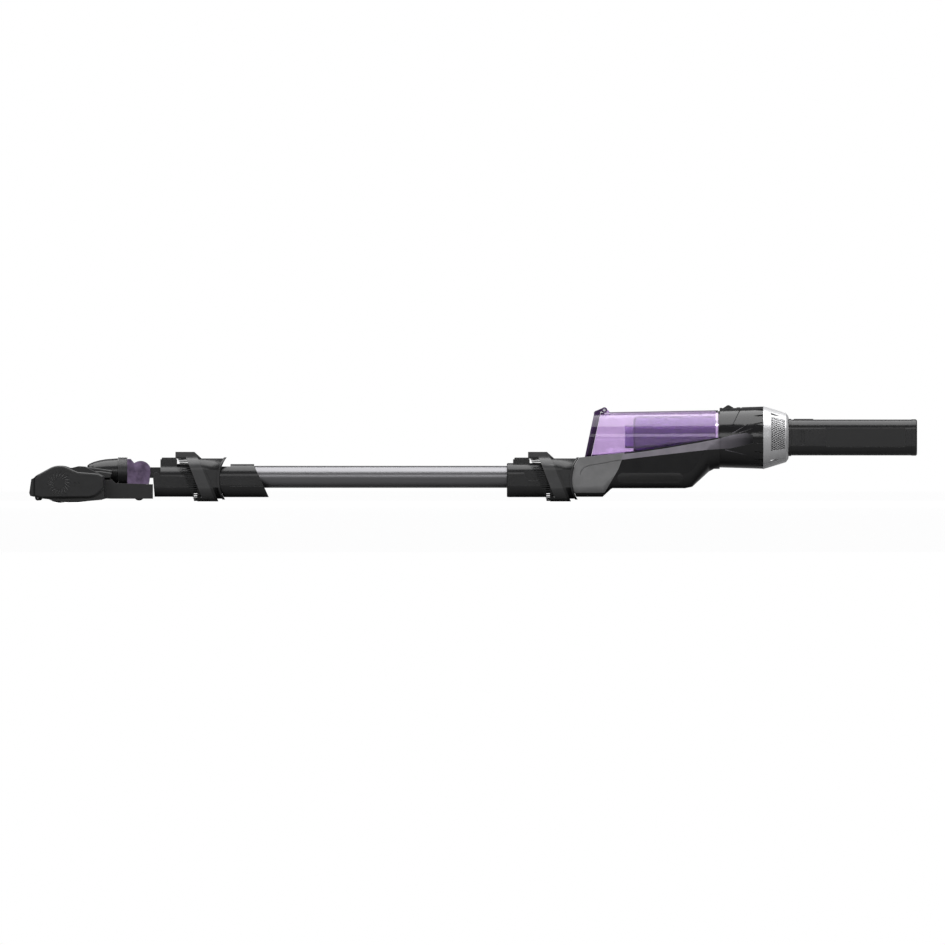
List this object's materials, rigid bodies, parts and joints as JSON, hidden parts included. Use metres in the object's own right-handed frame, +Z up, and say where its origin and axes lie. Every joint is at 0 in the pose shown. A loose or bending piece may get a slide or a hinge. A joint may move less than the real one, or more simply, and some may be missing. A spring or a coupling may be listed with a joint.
{
  "type": "cordless stick vacuum",
  "caption": "Slim cordless stick vacuum: floor head on a jointed neck, metal wand with slide-out dusting brushes, and an in-line hand unit with a clear purple dust bin.",
  "frame": {"origin": "On the floor below the centre of the outer box, with the vacuum lying flat on its brush and brush sliders.", "axes": "+X runs from the floor head to the handle, +Z is up from the floor, and +Y is across the vacuum, away from the side with the charging slot."},
  "size_m": [1.0994, 0.25, 0.1213],
  "materials": {
    "black_plastic": "fine satin texture",
    "gloss_black": "polished",
    "head_black": "satin",
    "grey_plastic": "satin, slight metallic fleck",
    "charcoal_plastic": "satin",
    "accent_lilac_silver": "satin metallic",
    "purple_clear": "tinted transparent plastic",
    "plum_clear": "smoky tinted plastic",
    "dark_purple": "dark tinted plastic",
    "silver_plastic": "silver coated",
    "tube_metal": "anodised, brushed lengthwise",
    "bristle": "nylon bristle",
    "rubber_black": "soft",
    "steel": "machined",
    "filter_grey": "filter cloth",
    "cell_wrap": "shrink-wrapped steel cans",
    "board_green": "solder mask",
    "copper_wire": "two-core flex"
  },
  "bodies": {
    "floor_head": {"head_chassis": "head_black", "head_screws": "steel", "head_top_cover": "head_black", "end_cap_left": "head_black", "end_cap_right": "head_black", "front_bumper": "rubber_black", "rear_carriage": "head_black", "neck_cover": "black_plastic", "wheel_axles": "steel", "roller_bearings": "steel", "brush_motor": "steel", "drive_belt": "rubber_black"},
    "brush_roller": {"roller_core": "dark_purple", "roller_bristles": "bristle", "roller_pulley": "black_plastic"},
    "brush_motor_shaft": {"motor_pinion": "steel"},
    "front_wheel_pair": {"front_wheels": "rubber_black"},
    "rear_wheel_pair": {"rear_wheels": "rubber_black"},
    "swivel": {"swivel_collar": "charcoal_plastic", "elbow": "plum_clear", "elbow_pin": "steel"},
    "head_connector": {"connector": "black_plastic"},
    "head_button": {"head_release_button": "black_plastic"},
    "wand": {"wand_lower_sleeve": "black_plastic", "wand_nozzle": "black_plastic", "wand_tube": "tube_metal", "wand_upper_sleeve": "black_plastic", "wand_wiring": "copper_wire"},
    "lower_dusting_brush": {"lower_brush_slider": "charcoal_plastic", "lower_brush_bristles": "bristle"},
    "wand_button": {"wand_release_button": "black_plastic"},
    "hand_unit": {"inlet_nozzle": "black_plastic", "front_fairing": "grey_plastic", "body_shell_left": "gloss_black", "body_shell_right": "gloss_black", "accent_bands": "accent_lilac_silver", "grip_inlays": "rubber_black", "motor_housing": "gloss_black", "exhaust_ring": "silver_plastic", "exhaust_grille": "silver_plastic", "exhaust_filter": "filter_grey", "motor_can": "steel", "handle_shell_left": "black_plastic", "handle_shell_right": "black_plastic", "handle_grips": "rubber_black", "handle_end_cap": "black_plastic", "charge_socket": "black_plastic", "battery_cells": "cell_wrap", "control_board": "board_green"},
    "upper_dusting_brush": {"upper_brush_slider": "charcoal_plastic", "upper_brush_bristles": "bristle"},
    "suction_fan": {"fan_rotor": "steel"},
    "dust_bin": {"bin_cup": "purple_clear", "cyclone_tube": "purple_clear", "bin_filter": "purple_clear", "lid_pin": "steel"},
    "dust_bin_lid": {"bin_lid": "dark_purple", "lid_seal": "rubber_black"},
    "bin_latch_slide": {"bin_latch": "black_plastic"},
    "power_switch": {"power_button": "gloss_black"}
  },
  "joints": [
    {"name": "brush_spin", "type": "hinge", "parent": "floor_head", "child": "brush_roller", "pos_m": [-0.5124, 0, 0.0215], "axis": [0, 1, 0], "continuous": true},
    {"name": "motor_shaft_spin", "type": "hinge", "parent": "floor_head", "child": "brush_motor_shaft", "pos_m": [-0.474, 0, 0.023], "axis": [0, 1, 0], "continuous": true},
    {"name": "front_wheels_spin", "type": "hinge", "parent": "floor_head", "child": "front_wheel_pair", "pos_m": [-0.5392, 0, 0.0067], "axis": [0, 1, 0], "continuous": true},
    {"name": "rear_wheels_spin", "type": "hinge", "parent": "floor_head", "child": "rear_wheel_pair", "pos_m": [-0.4148, 0, 0.0093], "axis": [0, 1, 0], "continuous": true},
    {"name": "neck_swivel", "type": "hinge", "parent": "floor_head", "child": "swivel", "pos_m": [-0.435, 0, 0.039], "axis": [1, 0, 0], "range_deg": [-40, 40]},
    {"name": "neck_tilt", "type": "hinge", "parent": "swivel", "child": "head_connector", "pos_m": [-0.4137, 0, 0.039], "axis": [0, -1, 0], "range_deg": [0, 85]},
    {"name": "head_button_press", "type": "slide", "parent": "head_connector", "child": "head_button", "axis": [0, 0, -1], "range_m": [0, 0.0018], "stiffness_N_per_m": 600, "springref_m": -0.001},
    {"name": "wand_pull_off", "type": "slide", "parent": "head_connector", "child": "wand", "axis": [1, 0, 0], "range_m": [0, 0.06]},
    {"name": "lower_brush_push", "type": "slide", "parent": "wand", "child": "lower_dusting_brush", "axis": [-1, 0, 0], "range_m": [0, 0.024]},
    {"name": "wand_button_press", "type": "slide", "parent": "wand", "child": "wand_button", "axis": [0, 0, -1], "range_m": [0, 0.0018], "stiffness_N_per_m": 600, "springref_m": -0.001},
    {"name": "hand_unit_pull_off", "type": "slide", "parent": "wand", "child": "hand_unit", "axis": [1, 0, 0], "range_m": [0, 0.06]},
    {"name": "upper_brush_push", "type": "slide", "parent": "hand_unit", "child": "upper_dusting_brush", "axis": [-1, 0, 0], "range_m": [0, 0.024]},
    {"name": "fan_spin", "type": "hinge", "parent": "hand_unit", "child": "suction_fan", "pos_m": [0.33, 0, 0.081], "axis": [1, 0, 0], "continuous": true},
    {"name": "bin_lift_off", "type": "slide", "parent": "hand_unit", "child": "dust_bin", "axis": [0, 0, 1], "range_m": [0, 0.08]},
    {"name": "bin_lid_swing", "type": "hinge", "parent": "dust_bin", "child": "dust_bin_lid", "pos_m": [0.1621, 0, 0.1151], "axis": [0, 1, 0], "range_deg": [0, 85]},
    {"name": "bin_latch_press", "type": "slide", "parent": "hand_unit", "child": "bin_latch_slide", "axis": [1, 0, 0], "range_m": [0, 0.003], "stiffness_N_per_m": 500, "springref_m": -0.001},
    {"name": "power_press", "type": "slide", "parent": "hand_unit", "child": "power_switch", "axis": [0, 0, -1], "range_m": [0, 0.001], "stiffness_N_per_m": 800, "springref_m": -0.001}
  ],
  "couplings": [
    {"joint": "motor_shaft_spin", "follows": "brush_spin", "ratio": 2}
  ]
}
